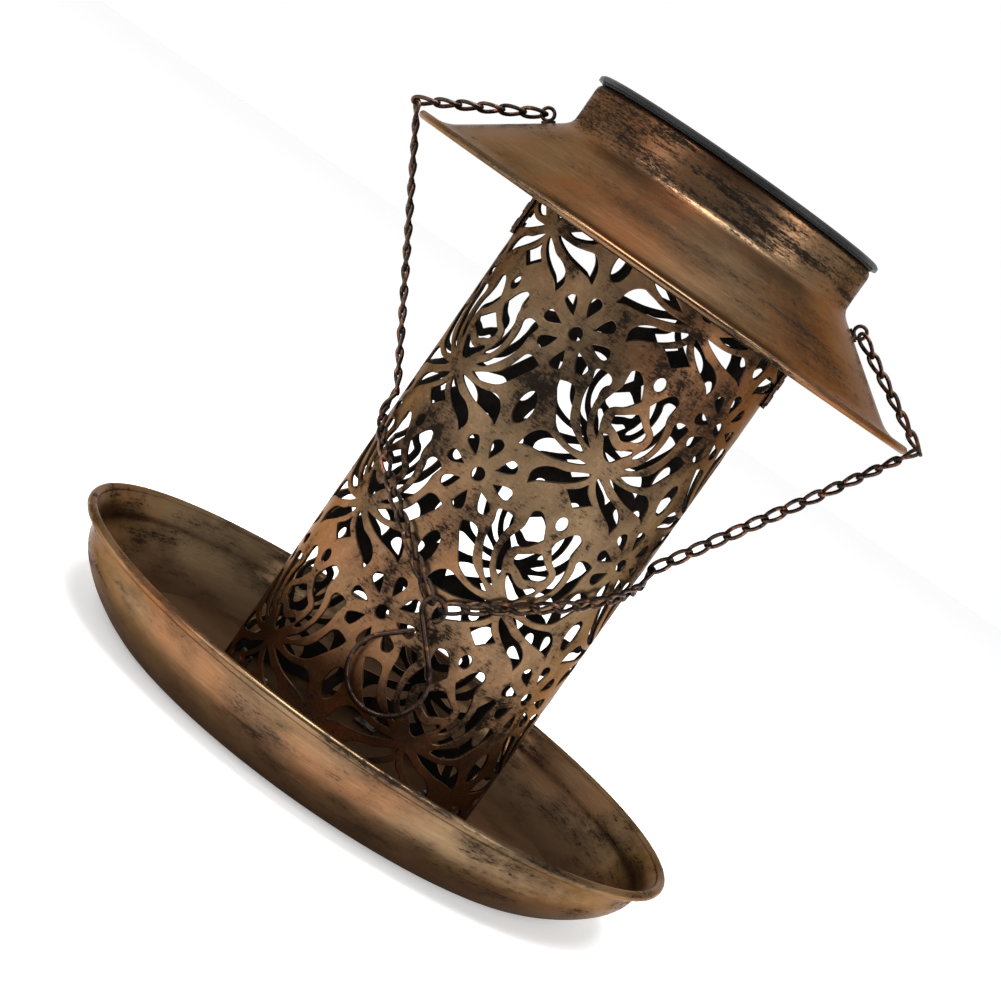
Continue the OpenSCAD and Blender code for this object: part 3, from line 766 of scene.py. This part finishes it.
def chain_run(a, b, links, phases, mirror, points, faces):
    """Links from a to b; phases are the degrees that their wide side turns from the front at each end."""
    for i in range(links):
        p, q = a.lerp(b, i / links), a.lerp(b, (i + 1) / links)
        along = (q - p).normalized()
        wide = along.cross(Vector((0, 1, 0))).normalized()
        phase = math.radians(phases[0] + (phases[1] - phases[0]) * min(1, 1.6 * i / links))
        wide = wide * math.cos(phase) + along.cross(wide) * math.sin(phase)
        curb_link(mirrored(p, mirror), mirrored(q, mirror), mirrored(wide, mirror), points, faces)


def mirrored(p, mirror):
    """The same place on the left side if mirror is true."""
    return Vector((-p.x, p.y, p.z)) if mirror else p.copy()


def front_point(q):
    """Place on the front run's centre line, from 0 at the hook to 1 at the side bend."""
    rise = 1.3 * q - 0.3 * q * q
    return on_wall(FRONT_ANGLE + (SIDE_ANGLE - FRONT_ANGLE) * q, FRONT_Z + (SIDE_Z - FRONT_Z) * rise)


def roof_run(mirror):
    """Links from the eye bolt over the roof to the hem."""
    points, faces = [], []
    chain_run(ROOF_START, HEM_BEND, ROOF_LINKS, (35, 60), mirror, points, faces)
    return points, faces


def side_run(mirror, turns):
    """Links from the hem to the side bend; the last hangs in the plane in which the front run lifts."""
    roof_way = (HEM_BEND - ROOF_START).normalized()
    side_way = (DROP_TOP - HEM_BEND).normalized()
    points, faces = [], []
    start = HEM_BEND - END_IN * roof_way + START_OUT * side_way
    chain_run(start, DROP_TOP + END_IN * side_way, SIDE_LINKS, turns, mirror, points, faces)
    p, q = DROP_TOP + START_OUT * DROP_WAY, SIDE_BEND + END_IN * DROP_WAY
    curb_link(mirrored(p, mirror), mirrored(q, mirror), Vector((0, -1, 0.2)), points, faces)
    return points, faces


def front_run(mirror):
    """Links round the lantern's front to the hook."""
    points, faces = [], []
    lead = 1 - START_OUT / FRONT_LENGTH
    for i in range(FRONT_LINKS):
        p = front_point(lead * (1 - i / FRONT_LINKS))
        q = front_point(lead * (1 - (i + 1) / FRONT_LINKS))
        out = (p + q) / 2
        out.z = 0
        wide = (q - p).cross(out.normalized()).normalized()
        curb_link(mirrored(p, mirror), mirrored(q, mirror), mirrored(wide, mirror), points, faces)
    return points, faces


def make_chains(mat):
    """Three runs of twisted links on each side."""
    for side, mirror, turns in (("right", False, (80, 5)), ("left", True, (-80, -70))):
        runs = (
            ("_roof_chain", "upper_chain", roof_run(mirror)),
            ("_side_chain", "upper_chain", side_run(mirror, turns)),
            ("_front_chain", "front_chain", front_run(mirror)),
        )
        for run, body, (points, faces) in runs:
            node = side + run
            place(make_object(node + "_look", points, faces, [mat]), body, "chain_steel", node)


HOOK_EYE = (62.5, 3.6)
HOOK_LOOP = (38.5, 12.5)
HOOK_WIRE = 1.6
HOOK_TAIL = 10.5
# Where the eye's open end starts and how far round the eye goes, in degrees
EYE_FROM, EYE_SWEEP = -50, 320
EYE_STEPS, LOOP_STEPS, TAIL_STEPS = 24, 40, 3


def make_hook(mat):
    """Round wire bent into a small eye above and a large open loop below."""
    (ez, er), (lz, lr) = HOOK_EYE, HOOK_LOOP
    t = math.acos((er + lr) / (ez - lz))
    line = []
    for k in range(EYE_STEPS + 1):
        a = math.radians(EYE_FROM + (EYE_SWEEP - math.degrees(t)) * k / EYE_STEPS)
        line.append((er * math.cos(a), ez + er * math.sin(a)))
    for k in range(LOOP_STEPS + 1):
        a = t + (TAU - 2 * t) * k / LOOP_STEPS
        line.append((lr * math.sin(a), lz + lr * math.cos(a)))
    last = Vector(line[-1])
    tail = Vector((math.cos(math.pi / 2 - t), math.sin(math.pi / 2 - t)))
    line += [tuple(last + tail * HOOK_TAIL * k / TAIL_STEPS) for k in range(1, TAIL_STEPS + 1)]
    path = [Vector((x, -CHAIN_R, z)) for x, z in line]
    points, faces = tube(path, HOOK_WIRE / 2, 12)
    return place(make_object("hook_look", points, faces, [mat]), "hook", "chain_steel", "s_hook")


# ---------- the frame's own small parts ----------


def finish_frame(looks):
    """Gives the CAD pieces that are shown as they are their own finish."""
    slots = {part["node"]: part["material_slot"] for part in frame["record"]["subparts"]}
    for name, obj in frame["nodes"].items():
        obj.data.materials.clear()
        obj.data.materials.append(looks[slots[name]])


# ---------- stage, light and camera ----------


def make_stage():
    """White floor, a little bright of itself, so that it meets the background."""
    mat, tree, shader = new_material("floor", 0.9)
    cloud = noise(tree, (3, 3, 3), 3.0)
    tree.links.new(blend(tree, cloud, (0.9, 0.9, 0.9), (0.92, 0.92, 0.92)), shader.inputs["Base Color"])
    shader.inputs["Emission Color"].default_value = (1, 1, 1, 1)
    shader.inputs["Emission Strength"].default_value = 0.34
    size = 4000
    corners = [(-size, -size, 0), (size, -size, 0), (size, size, 0), (-size, size, 0)]
    floor = make_object("floor", corners, [(0, 1, 2, 3)], [mat])


def softbox(name, place_m, size_m, power, aim=(0, 0, 0.11)):
    """Area light of size_m metres at place_m, turned to the object's middle."""
    lamp = bpy.data.lights.new(name, "AREA")
    lamp.shape = "RECTANGLE"
    lamp.size, lamp.size_y = size_m
    lamp.energy = power
    obj = bpy.data.objects.new(name, lamp)
    obj.location = place_m
    obj.rotation_mode = "QUATERNION"
    obj.rotation_quaternion = (Vector(aim) - Vector(place_m)).to_track_quat("-Z", "Y")
    bpy.context.collection.objects.link(obj)


def make_light():
    """White to the camera, but lighting the object from a bright back and a dark front."""
    world = bpy.data.worlds.new("studio")
    world.use_nodes = True
    tree = world.node_tree
    coord = tree.nodes.new("ShaderNodeTexCoord")
    axes = tree.nodes.new("ShaderNodeSeparateXYZ")
    tree.links.new(coord.outputs["Generated"], axes.inputs[0])
    back = tree.nodes["Background"]
    path = tree.nodes.new("ShaderNodeLightPath")
    level = span(tree, axes.outputs[1], -0.9, 0.5, 0.05, 1.0)
    tree.links.new(calc(tree, "MAXIMUM", level, path.outputs["Is Camera Ray"]), back.inputs["Color"])
    back.inputs["Strength"].default_value = 1.0
    bpy.context.scene.view_settings.view_transform = "Standard"
    bpy.context.scene.world = world
    softbox("left_box", (-1.0, -0.75, 0.75), (0.5, 0.9), 10)
    softbox("right_box", (1.0, -0.75, 0.6), (0.5, 0.9), 9)
    softbox("top_box", (0, -0.35, 1.3), (1.2, 0.45), 30)


def make_camera():
    """Level with the roof's rim, turned to the middle of the view and rolled."""
    eye = Vector((0, -0.812, 0.1831))
    aim = Vector((-0.0025, 0, 0.0955))
    roll = math.radians(35.0)
    forward = (aim - eye).normalized()
    right0 = forward.cross(Vector((0, 0, 1))).normalized()
    up0 = right0.cross(forward)
    right = right0 * math.cos(roll) + up0 * math.sin(roll)
    up = up0 * math.cos(roll) - right0 * math.sin(roll)
    cam = bpy.data.cameras.new("camera")
    cam.lens = 93.2
    cam.sensor_width = 36
    obj = bpy.data.objects.new("camera", cam)
    obj.matrix_world = Matrix((right, up, -forward)).transposed().to_4x4()
    obj.location = eye
    bpy.context.collection.objects.link(obj)
    bpy.context.scene.camera = obj


looks = make_looks()
finish_frame(looks)
make_dish(antique_bronze("dish_bronze", (34, 34, 520), 0.735, (38, 38, 90), 0.52, foot_painted_shade=True))
make_roof(looks["bronze_steel"])
cut_bronze = antique_bronze(
    "cut_bronze", (190, 190, 150), 0.715, (48, 48, 40), 0.45,
    low_copper=True, edges=True, grain_size=(700, 700, 500)
)
make_lantern(cut_bronze, inside_painted_shade())
make_chains(looks["chain_steel"])
make_hook(looks["chain_steel"])
make_stage()
make_light()
make_camera()
